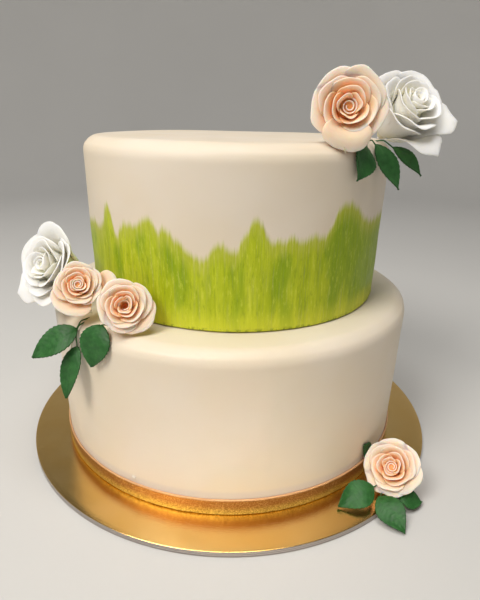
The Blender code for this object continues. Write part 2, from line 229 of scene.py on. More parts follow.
LEAVES = {
    "top_leaf_front": Leaf((74.5, -69.5, 211.0), (69.0, -80.0, 193.0), (0.6, -0.8, 0.1), 17, 1.8, 0.12),
    "top_leaf_middle": Leaf((81.2, -61.8, 211.2), (97.0, -63.8, 186.5), (0.4, -0.85, 0.3), 13, 2.0, 0.12),
    "top_leaf_right": Leaf((95.5, -47.0, 209.0), (113.5, -50.5, 193.0), (0.3, -0.7, 0.65), 11, 2.0, 0.12),
    "top_leaf_back": Leaf((60.4, -60.4, 218.7), (47.8, -66.2, 219.2), (-0.2, -0.9, 0.3), 10, 1.0, 0.1),
    "left_leaf_outer": Leaf((-87.5, -91.5, 107.5), (-113.0, -97.0, 91.0), (-0.3, -0.8, 0.5), 17, 2.0, 0.1),
    "left_leaf_front": Leaf((-70.0, -102.0, 115.0), (-76.0, -105.5, 90.5), (-0.3, -0.9, 0.2), 20, 2.0, 0.1),
    "left_leaf_low": Leaf((-87.5, -93.5, 97.0), (-94.5, -101.5, 67.0), (-0.4, -0.9, 0.1), 14, 2.0, 0.12),
    "base_leaf_left": Leaf((91.5, -108.0, 11.5), (68.5, -118.0, 5.4), (-0.2, -0.6, 0.75), 17, 2.0, 0.1),
    "base_leaf_front": Leaf((94.5, -113.0, 9.0), (104.5, -134.0, 1.5), (-0.2, -0.35, 0.9), 17, 2.0, 0.1),
    "base_leaf_right": Leaf((107.0, -112.0, 6.5), (122.0, -110.5, 3.0), (0.0, -0.5, 0.85), 12, 1.4, 0.14),
    "base_leaf_back": Leaf((94.6, -82.8, 17.5), (88.8, -89.0, 28.5), (0.72, -0.69, 0.0), 10, 0.0, 0.0),
}


WIRE_RADIUS = 0.3
WIRE_TIPS = [
    [(60.8, -81.5, 216.0), (59.2, -85.4, 211.0), (59.6, -86.0, 209.2), (60.6, -85.0, 207.6)],
    [(-89.5, -88.5, 103.0), (-91.8, -90.4, 97.0), (-92.6, -90.8, 92.0), (-92.2, -90.2, 88.6)],
]

# The covered wires that hold the leaves, which the photo hides: the corners that each one passes
# from its leaf's foot down to the icing or the board under the roses.
LEAF_WIRES = {
    "top_leaf_front": [(73.8, -67.6, 213.2), (70.0, -64.0, 211.6)],
    "top_leaf_middle": [(79.6, -60.0, 213.6), (76.0, -57.0, 211.6)],
    "top_leaf_right": [(90.5, -45.0, 212.8), (84.0, -42.0, 211.8)],
    "top_leaf_back": [(61.6, -58.4, 216.0), (61.0, -56.5, 211.8)],
    "left_leaf_outer": [(-86.0, -87.5, 111.0), (-83.0, -80.0, 109.8)],
    "left_leaf_front": [(-68.0, -97.5, 113.0), (-66.0, -94.0, 109.8)],
    "left_leaf_low": [(-88.0, -93.2, 103.0), (-87.0, -90.2, 109.0), (-84.5, -85.0, 109.0)],
    "base_leaf_left": [(98.0, -101.0, 8.0), (108.5, -92.0, 4.2)],
    "base_leaf_front": [(99.5, -105.0, 6.5), (109.5, -92.5, 4.2)],
    "base_leaf_right": [(108.0, -104.0, 5.6), (110.5, -93.0, 4.2)],
    "base_leaf_back": [(99.0, -83.2, 12.0), (107.5, -86.0, 4.2)],
}
LEAF_WIRE_RADIUS = 0.4

# A crumb of icing stuck to the lower tier just above the ribbon: angle from the front, height
# above the tier's foot and radius.
CRUMB = (-26.3, 14.6, 1.7)
CRUMB_FLATNESS = 0.6
CRUMB_ROWS = 8
CRUMB_SEGMENTS = 14


def colour(red, green, blue):
    """A colour given as it shows on a screen, 0 to 255, as linear light."""
    linear = []
    for value in (red, green, blue):
        value /= 255
        linear.append(value / 12.92 if value <= 0.04045 else ((value + 0.055) / 1.055) ** 2.4)
    return (*linear, 1.0)


# Node graphs

def node(tree, kind, inputs=None, **settings):
    made = tree.nodes.new("ShaderNode" + kind)
    for key, value in settings.items():
        setattr(made, key, value)
    for socket, value in (inputs or {}).items():
        if isinstance(value, bpy.types.NodeSocket):
            tree.links.new(value, made.inputs[socket])
        else:
            made.inputs[socket].default_value = value
    return made


def maths(tree, operation, first, second=0.0):
    return node(tree, "Math", {0: first, 1: second}, operation=operation).outputs[0]


def blend(tree, factor, first, second):
    return node(tree, "Mix", {0: factor, 6: first, 7: second}, data_type="RGBA").outputs[2]


def remap(tree, value, low, high, to_low=0.0, to_high=1.0):
    inputs = {0: value, 1: low, 2: high, 3: to_low, 4: to_high}
    return node(tree, "MapRange", inputs, interpolation_type="SMOOTHSTEP").outputs[0]


def places(tree, stretch=(1, 1, 1)):
    coordinates = node(tree, "TexCoord").outputs["Object"]
    if stretch == (1, 1, 1):
        return coordinates
    return node(tree, "VectorMath", {0: coordinates, 1: stretch}, operation="MULTIPLY").outputs[0]


def noise(tree, vector, scale, detail=2.0, roughness=0.5):
    inputs = {"Vector": vector, "Scale": scale, "Detail": detail, "Roughness": roughness}
    return node(tree, "TexNoise", inputs).outputs["Fac"]


def ramp(tree, factor, stops):
    made = node(tree, "ValToRGB", {0: factor})
    elements = made.color_ramp.elements
    while len(elements) < len(stops):
        elements.new(0.5)
    for element, (place, value) in zip(elements, stops):
        element.position = place
        element.color = value
    return made.outputs[0]


def bump(tree, height, distance, strength, normal=None):
    inputs = {"Height": height, "Distance": distance, "Strength": strength}
    if normal:
        inputs["Normal"] = normal
    return node(tree, "Bump", inputs).outputs[0]


def value_of(tree, name):
    return node(tree, "Attribute", attribute_name=name).outputs["Fac"]


def new_material(name, **fixed):
    """A material with constant values set on the shader's own sockets."""
    material = bpy.data.materials.new(name)
    material.use_nodes = True
    shader = material.node_tree.nodes["Principled BSDF"]
    for socket, value in fixed.items():
        shader.inputs[socket.replace("_", " ")].default_value = value
    return material, material.node_tree, shader


def wire(tree, shader, **links):
    for socket, value in links.items():
        tree.links.new(value, shader.inputs[socket.replace("_", " ")])


ICING = colour(230, 218, 201)
ICING_WARM = colour(228, 214, 192)


def icing_look(tree):
    """Sugar paste: even ivory with faint cloudy patches, hand-smoothed dents and a fine grain."""
    where = places(tree)
    patches = remap(tree, noise(tree, where, 14.0, 3.0), 0.35, 0.65)
    tone = blend(tree, patches, ICING, ICING_WARM)
    dents = noise(tree, where, 26.0, 2.0)
    grain = noise(tree, where, 1500.0, 2.0)
    normal = bump(tree, dents, 0.0006, 0.5)
    normal = bump(tree, grain, 0.00004, 0.35, normal)
    return tone, normal, remap(tree, noise(tree, where, 60.0, 3.0), 0.3, 0.7, 0.38, 0.5)


def icing_material():
    """The lower tier's icing, with a greyer strip of painted shade on the icing just above the ribbon."""
    material, tree, shader = new_material(
        "icing_smooth", Subsurface_Weight=0.12, Subsurface_Radius=(1.0, 0.7, 0.4), Subsurface_Scale=0.004,
        Specular_IOR_Level=0.4,
    )
    tone, normal, roughness = icing_look(tree)
    height = node(tree, "SeparateXYZ", {0: places(tree)}).outputs["Z"]
    band_top = LOWER_BASE + BAND_HEIGHT
    # Painted shade: a greyer strip just above the ribbon, where the ribbon's lip shades the icing.
    strip = remap(tree, height, (band_top + 2.5) * MM, (band_top + 6) * MM, 0.5, 0.0)
    tone = blend(tree, strip, tone, colour(208, 198, 196))
    wire(tree, shader, Base_Color=tone, Normal=normal, Roughness=roughness)
    return material


def painted_material():
    """The upper tier's icing, with green brushed up its side in streaks that thin out at their tops."""
    material, tree, shader = new_material(
        "icing_painted", Subsurface_Weight=0.08, Subsurface_Radius=(1.0, 0.7, 0.4), Subsurface_Scale=0.003,
        Specular_IOR_Level=0.25,
    )
    tone, normal, roughness = icing_look(tree)
    height = node(tree, "SeparateXYZ", {0: places(tree)}).outputs["Z"]
    bristles = noise(tree, places(tree, (1, 1, 0.05)), 900.0, 3.0, 0.6)
    strokes = noise(tree, places(tree, (1, 1, 0.09)), 200.0, 3.0, 0.55)
    washes = noise(tree, places(tree, (1, 1, 0.3)), 48.0, 3.0, 0.5)
    fine = maths(tree, "MULTIPLY", bristles, 0.004)
    ragged = maths(tree, "ADD", fine, maths(tree, "MULTIPLY", strokes, 0.008))
    edge = maths(tree, "ADD", value_of(tree, "paint_top"), maths(tree, "SUBTRACT", ragged, 0.004))
    below = maths(tree, "SUBTRACT", edge, height)
    covered = remap(tree, below, -0.0014, 0.0052)
    thick = remap(tree, below, 0.001, 0.015)
    fine = maths(tree, "MULTIPLY", bristles, 0.45)
    streaks = maths(tree, "ADD", fine, maths(tree, "MULTIPLY", strokes, 0.55))
    thin = blend(tree, remap(tree, bristles, 0.3, 0.7), colour(196, 200, 84), colour(176, 184, 44))
    full = ramp(tree, streaks, [
        (0.3, colour(136, 158, 10)),
        (0.44, colour(168, 184, 18)),
        (0.56, colour(184, 197, 30)),
        (0.7, colour(206, 214, 62)),
    ])
    # The dark wash grows towards the right (+x): partly heavier paint and partly painted shade on the side
    # away from the light.
    aside = node(tree, "SeparateXYZ", {0: places(tree)}).outputs["X"]
    right = remap(tree, aside, 0.0, 0.09, -0.1, 0.14)
    wash_and_painted_shade = maths(tree, "ADD", washes, right)
    full = blend(tree, remap(tree, wash_and_painted_shade, 0.46, 0.57, 0.0, 0.68), full, colour(122, 156, 2))
    scrapes = noise(tree, places(tree, (1, 1, 0.22)), 620.0, 4.0, 0.7)
    full = blend(tree, remap(tree, scrapes, 0.54, 0.68, 0.0, 0.45), full, colour(118, 142, 8))
    full = blend(tree, remap(tree, scrapes, 0.46, 0.34, 0.0, 0.4), full, colour(214, 220, 84))
    paint = blend(tree, thick, thin, full)
    foot = remap(tree, height, (UPPER_BASE + 2) * MM, (UPPER_BASE + 16) * MM, 0.45, 0.0)
    paint = blend(tree, foot, paint, colour(226, 228, 66))
    clumps = remap(tree, noise(tree, places(tree, (1, 1, 0.6)), 420.0, 2.0), 0.5, 0.6)
    settled = remap(tree, height, (UPPER_BASE + 0.4) * MM, (UPPER_BASE + 2.6) * MM, 0.75, 0.0)
    paint = blend(tree, maths(tree, "MULTIPLY", clumps, settled), paint, colour(112, 134, 8))
    mask = maths(tree, "MULTIPLY", covered, remap(tree, bristles, 0.28, 0.5, 0.93, 1.0))
    normal = bump(tree, maths(tree, "MULTIPLY", streaks, covered), 0.0006, 0.7, normal)
    wire(tree, shader, Base_Color=blend(tree, mask, tone, paint), Normal=normal, Roughness=roughness)
    return material


def board_material():
    """Gold foil with a fine pressed grain on the flat, and the cut edge in bare silver-grey card."""
    material, tree, shader = new_material("gold_foil_board")
    where = places(tree)
    up = node(tree, "SeparateXYZ", {0: node(tree, "NewGeometry").outputs["Normal"]}).outputs["Z"]
    height = node(tree, "SeparateXYZ", {0: where}).outputs["Z"]
    flat = remap(tree, up, 0.35, 0.8)
    pressed = noise(tree, places(tree, (1, 2.6, 1)), 900.0, 2.0, 0.6)
    ripples = noise(tree, where, 30.0, 3.0)
    gold = blend(tree, remap(tree, ripples, 0.3, 0.7), colour(250, 211, 138), colour(244, 201, 122))
    plies = maths(tree, "SINE", maths(tree, "MULTIPLY", height, 2 * math.pi / BOARD_PLY))
    edge = blend(tree, remap(tree, plies, -0.6, 0.9), colour(150, 142, 138), colour(186, 178, 172))
    normal = bump(tree, ripples, 0.0004, 0.3)
    normal = bump(tree, pressed, 0.0001, 0.6, normal)
    roughness = remap(tree, flat, 0.0, 1.0, 0.5, 0.17)
    wire(tree, shader, Base_Color=blend(tree, flat, edge, gold), Normal=normal, Roughness=roughness,
         Metallic=remap(tree, flat, 0.0, 1.0, 0.55, 1.0))
    return material


def band_material():
    """A ribbon in rubbed bronze gold, with a coarse sparkling grain, a painted highlight along its top lip
    and a painted reflection of the board along its lower part.
    """
    material, tree, shader = new_material("bronze_gold_band")
    where = places(tree)
    height = node(tree, "SeparateXYZ", {0: where}).outputs["Z"]
    grain = noise(tree, where, 1300.0, 3.0, 0.7)
    smears = noise(tree, places(tree, (1, 1, 3)), 70.0, 3.0, 0.6)
    gold = ramp(tree, grain, [
        (0.3, colour(142, 94, 44)),
        (0.5, colour(176, 124, 66)),
        (0.62, colour(202, 154, 88)),
        (0.75, colour(244, 212, 136)),
    ])
    gold = blend(tree, remap(tree, smears, 0.4, 0.65, 0.0, 0.5), gold, colour(164, 108, 50))
    # Painted reflection: the ribbon's lower part is painted yellower and brighter, with painted glints, in
    # place of the gold board mirrored in it.
    low = remap(tree, height, (LOWER_BASE + 1) * MM, (LOWER_BASE + 6.5) * MM, 0.75, 0.0)
    painted_glints = remap(tree, grain, 0.35, 0.65)
    gold = blend(tree, low, gold, blend(tree, painted_glints, colour(178, 146, 62), colour(250, 226, 120)))
    band_top = LOWER_BASE + BAND_HEIGHT
    # Painted highlight: a pale line along the ribbon's rounded top lip, where it is also made less
    # metallic.
    lip_highlight = remap(tree, height, (band_top - 1.6) * MM, (band_top - 0.5) * MM)
    gold = blend(tree, maths(tree, "MULTIPLY", lip_highlight, 0.75), gold, colour(240, 190, 142))
    normal = bump(tree, grain, 0.0002, 0.8)
    wire(tree, shader, Base_Color=gold, Normal=normal,
         Roughness=remap(tree, grain, 0.3, 0.7, 0.6, 0.4),
         Metallic=remap(tree, lip_highlight, 0.0, 1.0, 0.7, 0.3))
    return material


def petal_material(name, stops, scatter):
    """Petal paste, deepest in tone at a petal's foot and palest along its rim."""
    material, tree, shader = new_material(
        name, Subsurface_Weight=0.5, Subsurface_Radius=scatter, Subsurface_Scale=0.0035,
        Specular_IOR_Level=0.35,
    )
    where = places(tree)
    share = value_of(tree, "tone")
    mottle = noise(tree, where, 240.0, 3.0)
    uneven = maths(tree, "MULTIPLY", maths(tree, "SUBTRACT", mottle, 0.5), 0.12)
    tone = ramp(tree, maths(tree, "ADD", share, uneven), stops)
    veins = noise(tree, where, 700.0, 2.0, 0.6)
    normal = bump(tree, mottle, 0.0005, 0.4)
    normal = bump(tree, veins, 0.00008, 0.4, normal)
    wire(tree, shader, Base_Color=tone, Normal=normal,
         Roughness=remap(tree, mottle, 0.3, 0.7, 0.42, 0.56))
    return material


def leaf_material():
    """Dark green paste, paler and dusty in patches, and darker in the veins, cut edge and back."""
    material, tree, shader = new_material(
        "leaf_paste", Subsurface_Weight=0.05, Subsurface_Radius=(0.4, 1.0, 0.3), Subsurface_Scale=0.001,
        Specular_IOR_Level=0.3,
    )
    where = places(tree)
    mottle = noise(tree, where, 320.0, 3.0)
    dusty = noise(tree, where, 90.0, 2.0)
    green = ramp(tree, mottle, [
        (0.3, colour(36, 84, 36)),
        (0.5, colour(42, 94, 42)),
        (0.7, colour(52, 106, 50)),
    ])
    green = blend(tree, remap(tree, dusty, 0.45, 0.7, 0.0, 0.3), green, colour(66, 118, 66))
    veins = remap(tree, value_of(tree, "vein"), 0.2, 1.0, 0.0, 0.35)
    green = blend(tree, veins, green, colour(34, 84, 42))
    edges = remap(tree, value_of(tree, "rim"), 0.4, 1.0, 0.0, 0.75)
    green = blend(tree, edges, green, colour(22, 56, 26))
    normal = bump(tree, mottle, 0.0003, 0.5)
    wire(tree, shader, Base_Color=green, Normal=normal,
         Roughness=remap(tree, mottle, 0.3, 0.7, 0.42, 0.55))
    return material


PEACH_STOPS = [
    (0.0, colour(242, 120, 40)),
    (0.3, colour(255, 174, 110)),
    (0.55, colour(255, 204, 164)),
    (0.78, colour(255, 217, 194)),
    (1.0, colour(255, 229, 216)),
]
WHITE_STOPS = [
    (0.0, colour(224, 220, 160)),
    (0.25, colour(238, 235, 204)),
    (0.5, colour(247, 244, 232)),
    (0.8, colour(251, 249, 244)),
    (1.0, colour(253, 252, 249)),
]


# Shapes

class Shape:
    """Gathers closed forms, in millimetres, and their per-point values into one mesh."""

    def __init__(self):
        self.points, self.faces, self.values, self.count = [], [], {}, 0

    def add(self, points, faces, **values):
        points = np.asarray(points, float).reshape(-1, 3)
        self.points.append(points)
        self.faces += [[corner + self.count for corner in face] for face in faces]
        for name, value in values.items():
            value = np.broadcast_to(np.asarray(value, float).ravel(), len(points))
            self.values.setdefault(name, []).append(value)
        self.count += len(points)

    def piece(self, name, material, slot, replaced=None):
        mesh = bpy.data.meshes.new(name)
        mesh.from_pydata((np.concatenate(self.points) * MM).tolist(), [], self.faces)
        for key, value in self.values.items():
            mesh.attributes.new(key, "FLOAT", "POINT").data.foreach_set("value", np.concatenate(value))
        mesh.materials.append(material)
        mesh.shade_smooth()
        mesh.update()
        thing = bpy.data.objects.new(name, mesh)
        bpy.context.scene.collection.objects.link(thing)
        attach(thing, "root")
        if replaced:
            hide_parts(replaced)


def waves(seed, count, most_round, most_up=0.0):
    """Gentle seeded unevenness, -1 to 1, of an angle in radians and a height share."""
    rng = random.Random(seed)
    terms = []
    for _ in range(count):
        across, rise = rng.randint(2, most_round), rng.uniform(-most_up, most_up)
        terms.append((across, rise, rng.uniform(0, 2 * math.pi)))

    def value(turn, up=0.0):
        return sum(np.sin(across * turn + rise * up + phase) for across, rise, phase in terms) / count
    return value


def lathe(rings, segments, point):
    """A closed body, capped at both ends: point(radius, height, turns) gives one ring of its points."""
    turns = np.arange(segments) * 2 * math.pi / segments
    points = [point(0.0, rings[0][1], np.zeros(1))]
    points += [point(radius, height, turns) for radius, height in rings]
    points.append(point(0.0, rings[-1][1], np.zeros(1)))
    faces = []
    after = [(step + 1) % segments for step in range(segments)]
    for step in range(segments):
        faces.append((0, 1 + step, 1 + after[step]))
    for ring in range(len(rings) - 1):
        high, low = 1 + ring * segments, 1 + (ring + 1) * segments
        for step in range(segments):
            faces.append((high + step, low + step, low + after[step], high + after[step]))
    last = 1 + (len(rings) - 1) * segments
    for step in range(segments):
        faces.append((last + step, last + segments, last + after[step]))
    return np.concatenate(points), faces


TOP_ROWS = 16
EDGE_ROWS = 12
SIDE_ROWS = 56


def tier_rings(base_radius, top_radius, height, edge):
    """A tier's rings, (radius, height), from the middle of its top to under its foot."""
    rings = [((top_radius - edge) * step / TOP_ROWS, height) for step in range(1, TOP_ROWS)]
    for step in range(EDGE_ROWS + 1):
        turn = math.pi / 2 * (1 - step / EDGE_ROWS)
        rings.append((top_radius - edge + edge * math.cos(turn), height - edge + edge * math.sin(turn)))
    side = height - edge
    for step in range(1, SIDE_ROWS):
        share = step / SIDE_ROWS
        radius = top_radius + (base_radius - top_radius) * share
        rings.append((radius, side * (1 - share) + FOOT_ROUND * share))
    rings += [(base_radius, FOOT_ROUND), (base_radius - 0.1, 0.6), (base_radius - 0.4, 0.15)]
    rings.append((base_radius - FOOT_ROUND, 0.0))
    rings += [(base_radius * share, 0.0) for share in (0.8, 0.4)]
    return rings


def worn(height, full, radius, inner, top):
    """A ring's height with the small dips of a hand-smoothed top, inside the given radius only."""
    return height - TOP_DIP * (1 + top) * (height / full > 0.9) * min(radius / 40, 1) * (radius < inner)


def add_lower_tier(material):
    side = waves(11, 9, 14, 3.0)
    top = waves(12, 6, 5)

    def point(radius, height, turns):
        up = height / LOWER_HEIGHT
        calm = np.clip((height - BAND_HEIGHT - 2) / 12, 0, 1)
        worked = radius + 0.55 * side(turns, 6 * up) * calm * min(radius / 60, 1)
        level = worn(height, LOWER_HEIGHT, radius, LOWER_TOP_RADIUS - 2, top(turns))
        return np.stack([
            worked * np.cos(turns), worked * np.sin(turns), LOWER_BASE + level + 0 * turns,
        ], 1)

    shape = Shape()
    rings = tier_rings(LOWER_BASE_RADIUS, LOWER_TOP_RADIUS, LOWER_HEIGHT, LOWER_EDGE)
    shape.add(*lathe(rings, TIER_SEGMENTS, point))
    shape.add(*crumb_form())
    shape.piece("lower_tier_icing", material, "icing", "lower_tier")


def crumb_form():
    """The crumb of icing, a flattened lump whose middle is on the tier's side."""
    angle, height, size = CRUMB
    angle = math.radians(angle - 90)
    across, back = LOWER_BASE_RADIUS * math.cos(angle), LOWER_BASE_RADIUS * math.sin(angle)
    middle = np.array([across, back, LOWER_BASE + height])
    lumps = waves(13, 3, 3)

    def point(radius, height, turns):
        worked = radius * (1 + 0.25 * lumps(turns))
        return middle + np.stack([worked * np.cos(turns), worked * np.sin(turns), height + 0 * turns], 1)

    steps = [math.pi * (step + 0.5) / CRUMB_ROWS for step in range(CRUMB_ROWS)]
    rings = [(size * math.sin(turn), CRUMB_FLATNESS * size * math.cos(turn)) for turn in steps]
    return lathe(rings, CRUMB_SEGMENTS, point)


def paint_top(turns):
    """How high above the tier's foot the paint ends: as seen in front, and made up for the back."""
    angles = (np.degrees(turns) + 90 + 180) % 360 - 180
    rng = random.Random(7)
    edge = list(PAINT_EDGE)
    angle = edge[-1][0] + 6
    while angle < 360 + edge[0][0] - 5:
        edge.append((angle, rng.choice((46, 50, 54, 58, 64)) + rng.uniform(-3, 3)))
        angle += rng.uniform(2.2, 6)
    known = np.array(edge)
    return np.interp(angles % 360, known[:, 0] % 360, known[:, 1], period=360)


def add_upper_tier(material):
    side = waves(21, 9, 13, 3.0)
    top = waves(22, 6, 5)
    foot = waves(23, 8, 60)
    lean = math.tan(math.radians(UPPER_LEAN))
    tops = []

    def point(radius, height, turns):
        up = height / UPPER_HEIGHT
        worked = radius + 0.45 * side(turns, 6 * up) * min(radius / 60, 1)
        worked = worked + 0.35 * foot(turns) * (height < 2.5) * (radius > 90)
        level = worn(height, UPPER_HEIGHT, radius, UPPER_TOP_RADIUS - 2, top(turns))
        tops.append((UPPER_BASE + paint_top(turns)) * MM)
        return np.stack([
            UPPER_CENTRE[0] + lean * height + worked * np.cos(turns),
            UPPER_CENTRE[1] + worked * np.sin(turns),
            UPPER_BASE + level + 0 * turns,
        ], 1)

    shape = Shape()
    rings = tier_rings(UPPER_BASE_RADIUS, UPPER_TOP_RADIUS, UPPER_HEIGHT, UPPER_EDGE)
    points, faces = lathe(rings, 2 * TIER_SEGMENTS, point)
    shape.add(points, faces, paint_top=np.concatenate(tops))
    shape.piece("upper_tier_icing", material, "icing", "upper_tier")


def add_board(material):
    """The round card, with its foil wrapped over a small rounded top corner."""
    rings = [(BOARD_RADIUS * share, BOARD_THICKNESS) for share in (0.25, 0.5, 0.75, 0.9, 0.97)]
    for step in range(6):
        turn = math.pi / 2 * (1 - step / 5)
        rings.append((
            BOARD_RADIUS - BOARD_CORNER + BOARD_CORNER * math.cos(turn),
            BOARD_THICKNESS - BOARD_CORNER + BOARD_CORNER * math.sin(turn),
        ))
    rings += [(BOARD_RADIUS, 2.4), (BOARD_RADIUS, 1.4), (BOARD_RADIUS, 0.4), (BOARD_RADIUS - 0.4, 0.0)]
    rings += [(BOARD_RADIUS * share, 0.0) for share in (0.9, 0.5)]

    def point(radius, height, turns):
        return np.stack([
            BOARD_CENTRE[0] + radius * np.cos(turns),
            BOARD_CENTRE[1] + radius * np.sin(turns),
            height + 0 * turns,
        ], 1)

    shape = Shape()
    shape.add(*lathe(rings, TIER_SEGMENTS, point))
    shape.piece("gold_foil_board", material, "board", "cake_board")


def add_band(material):
    """The ribbon, a closed ring with rounded lips and a slightly uneven top."""
    widening = (LOWER_TOP_RADIUS - LOWER_BASE_RADIUS) / (LOWER_HEIGHT - LOWER_EDGE)
    inside = LOWER_BASE_RADIUS + BAND_INSET
    swell = waves(31, 10, 90)
    level = waves(32, 8, 24)
    segments = 2 * TIER_SEGMENTS
    turns = np.arange(segments) * 2 * math.pi / segments
    points = []
    for out, up in BAND_SECTION:
        height = up * (BAND_HEIGHT - BAND_TOP_DIP * up * (1 + level(turns)))
        thickness = BAND_THICKNESS + BAND_SWELL * swell(turns, 9 * up)
        radius = inside + widening * height + out * thickness
        points.append(np.stack([radius * np.cos(turns), radius * np.sin(turns), LOWER_BASE + height], 1))
    faces = []
    count = len(BAND_SECTION)
    for ring in range(count):
        for step in range(segments):
            after = (step + 1) % segments
            here, beside = ring * segments, (ring + 1) % count * segments
            faces.append((here + step, here + after, beside + after, beside + step))
    shape = Shape()
    shape.add(np.concatenate(points), faces)
    shape.piece("bronze_gold_band", material, "band", "gold_band")


def ease(share):
    share = np.clip(share, 0, 1)
    return share * share * (3 - 2 * share)


def shell(grid, thickness):
    """A closed thin body round a grid of points, as thick at each as asked."""
    rows, columns = grid.shape[0], grid.shape[1]
    normal = np.cross(np.gradient(grid, axis=1), np.gradient(grid, axis=0))
    normal /= np.maximum(np.linalg.norm(normal, axis=2, keepdims=True), 1e-9)
    offset = normal * thickness[:, :, None] / 2
    points = np.concatenate([(grid + offset).reshape(-1, 3), (grid - offset).reshape(-1, 3)])
    under = rows * columns
    faces = []
    for row in range(rows - 1):
        for column in range(columns - 1):
            a = row * columns + column
            b, c, d = a + 1, a + columns + 1, a + columns
            faces.append((a, b, c, d))
            faces.append((d + under, c + under, b + under, a + under))
    border = list(range(columns - 1))
    border += [row * columns + columns - 1 for row in range(rows - 1)]
    border += [(rows - 1) * columns + column for column in range(columns - 1, 0, -1)]
    border += [row * columns for row in range(rows - 1, 0, -1)]
    for here, after in zip(border, border[1:] + border[:1]):
        faces.append((after, here, here + under, after + under))
    return points, faces


# Petals and hearts: the feet are shares of the rose's size, and the thicknesses and roundings at
# the rim are in millimetres. LEAST is the share of its thickness that is left at the very rim.
PETAL_FOOT_REACH = 0.07
PETAL_FOOT_RISE = 0.06
PETAL_SHOULDER = 0.6
PETAL_ROUNDNESS = 2.6
PETAL_STEPS = 60
PETAL_COLUMNS = 30
PETAL_ROWS = 18
PETAL_FOOT_THICKNESS = 1.15
PETAL_THINNING = 0.6
PETAL_ROUNDING = 0.4
PETAL_LEAST = 0.3

HEART_THICKNESS = 0.65
HEART_FOOT = 0.3
HEART_ROWS = 10
HEART_COLUMNS_PER_TURN = 30

# Leaves: a tooth is a share of the half width, and the wave a share of the whole width.
LEAF_THICKNESS = 0.85
LEAF_ROUNDING = 0.35
LEAF_LEAST = 0.35
LEAF_TEETH = 11
LEAF_TOOTH = 0.075
LEAF_VEINS = 8
LEAF_RELIEF = 0.26
LEAF_WAVE = 0.04


def rounded(distance, reach, least):
    """The share of its thickness that a form has at a distance from its rim, never under the least."""
    close = np.clip(distance / reach, 0, 1)
    return np.maximum(np.sqrt(1 - (1 - close) ** 2), least)


def petal_rim(petal, side, rng):
    """How long the petal is at each side, as a share of its middle, with small irregularities."""
    round_rim = (1 - np.abs(side) ** PETAL_ROUNDNESS) ** (1 / PETAL_ROUNDNESS)
    length = PETAL_SHOULDER + (1 - PETAL_SHOULDER) * round_rim
    length = np.minimum(length - petal.peak + 2 * petal.peak * (1 - np.abs(side)), 1.0)
    length = length * (1 - petal.peak * np.abs(side) ** 0.7)
    uneven = sum(np.sin(rate * side + rng.uniform(0, 6.3)) for rate in (5, 9, 16)) / 3
    return length * (0.988 + 0.012 * uneven)


def petal_form(petal, radius, seed):
    """A petal's middle surface in its rose's frame, its thickness, and how far along each point is."""
    rows, columns = PETAL_ROWS, PETAL_COLUMNS
    rng = random.Random(seed)
    side = np.sin(np.linspace(-1, 1, columns + 1) * math.pi / 2)
    share = 1 - (1 - np.linspace(0, 1, rows + 1)) ** 1.5
    rim = petal_rim(petal, side, rng)
    first, middle, last = petal.slopes
    steps = np.linspace(0, 1, PETAL_STEPS + 1)
    grid = np.zeros((rows + 1, columns + 1, 3))
    ruffle = petal.ruffle * radius
    if petal.pale < 0.5:
        rim = rim * rng.uniform(0.96, 1.01)
    phase = rng.uniform(0, 6.3)
    rate = rng.uniform(5.0, 8.0)
    for column in range(columns + 1):
        along = steps * rim[column]
        slope = np.where(
            along < 0.5,
            first + (middle - first) * ease(along * 2),
            middle + (last - middle) * ease(along * 2 - 1),
        ) - petal.curl * ease((steps - 0.8) / 0.2)
        slope = np.radians((slope[1:] + slope[:-1]) / 2)
        step = petal.length * radius * rim[column] / PETAL_STEPS
        out = PETAL_FOOT_REACH * radius + np.concatenate([[0], np.cumsum(np.cos(slope))]) * step
        up = PETAL_FOOT_RISE * radius + np.concatenate([[0], np.cumsum(np.sin(slope))]) * step
        wave = math.sin(rate * side[column] + phase)
        nudge = math.cos(0.7 * rate * side[column] + 2 * phase)
        distance = np.interp(share, steps, out) + petal.wind * radius * side[column] * rim[column] * share
        distance += ruffle * wave * share ** 4
        turn = math.radians(petal.turn + petal.spread * side[column])
        grid[:, column, 0] = distance * math.cos(turn)
        grid[:, column, 1] = distance * math.sin(turn)
        grid[:, column, 2] = np.interp(share, steps, up) + 0.5 * ruffle * (nudge - 1) * share ** 4
    to_rim = (1 - share)[:, None] * rim[None, :] * petal.length * radius
    across = np.linalg.norm(grid[:, :, :2], axis=2)
    to_side = (1 - np.abs(side))[None, :] * math.radians(petal.spread) * across
    thickness = (PETAL_FOOT_THICKNESS - PETAL_THINNING * share)[:, None]
    thickness = thickness * rounded(np.minimum(to_rim, to_side), PETAL_ROUNDING, PETAL_LEAST)
    return grid, thickness, share[:, None] * rim[None, :]


